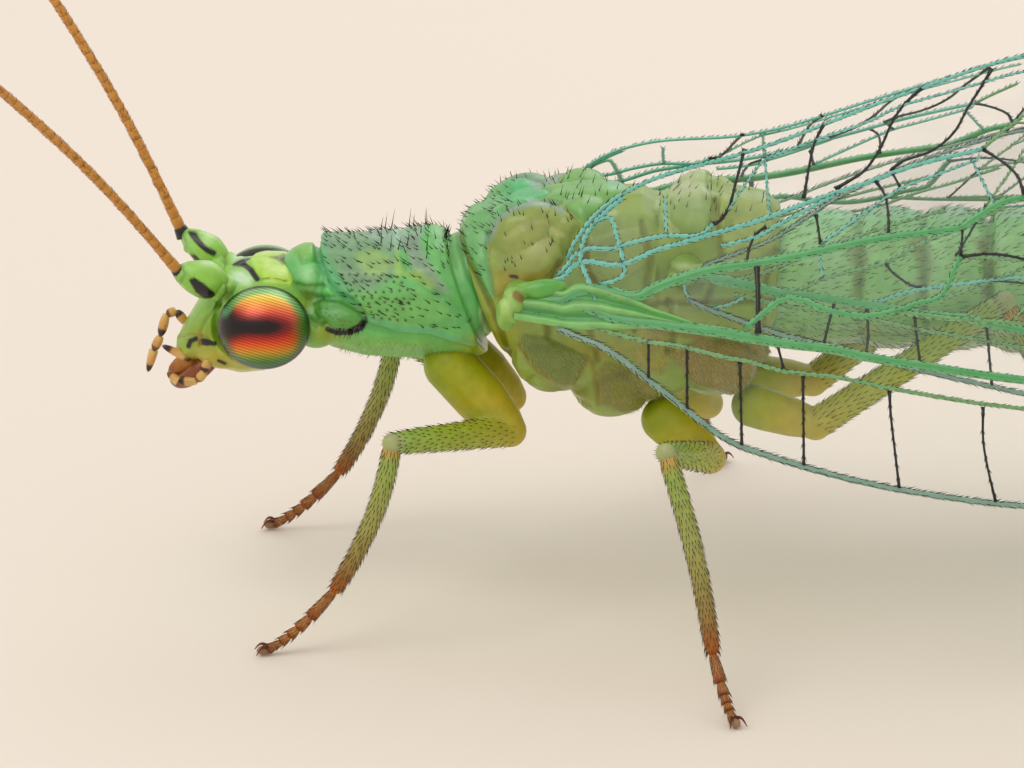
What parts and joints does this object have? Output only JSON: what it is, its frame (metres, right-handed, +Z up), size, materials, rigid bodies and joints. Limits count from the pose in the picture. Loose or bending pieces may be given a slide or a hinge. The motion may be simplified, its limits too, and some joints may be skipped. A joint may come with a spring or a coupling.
{
  "type": "green lacewing",
  "caption": "Life-size standing green lacewing with golden eyes, long feelers and veined wings folded like a roof over its body.",
  "frame": {"origin": "on the floor between the feet, under the middle of the insect's bounding box", "axes": "+Z up, the head faces -Y and the wing tips point to +Y, +X is the insect's own left"},
  "size_m": [0.0082, 0.029, 0.0122],
  "materials": {
    "body_green": "satin",
    "neck_green": "satin",
    "belly_green": "satin",
    "leg_green": "satin",
    "foot_brown": "satin",
    "antenna_brown": "satin",
    "mouth_brown": "satin",
    "eye_gold": "gloss",
    "wing_green": "gloss"
  },
  "bodies": {
    "root": {"abdomen_front": "belly_green", "abdomen_middle": "belly_green", "abdomen_rear": "belly_green", "antenna_base_left": "antenna_brown", "antenna_base_right": "antenna_brown", "antenna_scape_left": "body_green", "antenna_scape_right": "body_green", "antenna_tip_left": "antenna_brown", "antenna_tip_right": "antenna_brown", "coxa_fore_left": "leg_green", "coxa_fore_right": "leg_green", "coxa_hind_left": "leg_green", "coxa_hind_right": "leg_green", "coxa_middle_left": "leg_green", "coxa_middle_right": "leg_green", "eye_left": "eye_gold", "eye_right": "eye_gold", "femur_fore_left": "leg_green", "femur_fore_right": "leg_green", "femur_hind_left": "leg_green", "femur_hind_right": "leg_green", "femur_middle_left": "leg_green", "femur_middle_right": "leg_green", "forewing_left": "wing_green", "forewing_right": "wing_green", "head": "body_green", "hindwing_left": "wing_green", "hindwing_right": "wing_green", "mesothorax": "belly_green", "metathorax": "belly_green", "mouthparts": "mouth_brown", "neck": "neck_green", "prothorax": "body_green", "tarsus_fore_left": "foot_brown", "tarsus_fore_right": "foot_brown", "tarsus_hind_left": "foot_brown", "tarsus_hind_right": "foot_brown", "tarsus_middle_left": "foot_brown", "tarsus_middle_right": "foot_brown", "tibia_fore_left": "leg_green", "tibia_fore_right": "leg_green", "tibia_hind_left": "leg_green", "tibia_hind_right": "leg_green", "tibia_middle_left": "leg_green", "tibia_middle_right": "leg_green"}
  },
  "joints": []
}
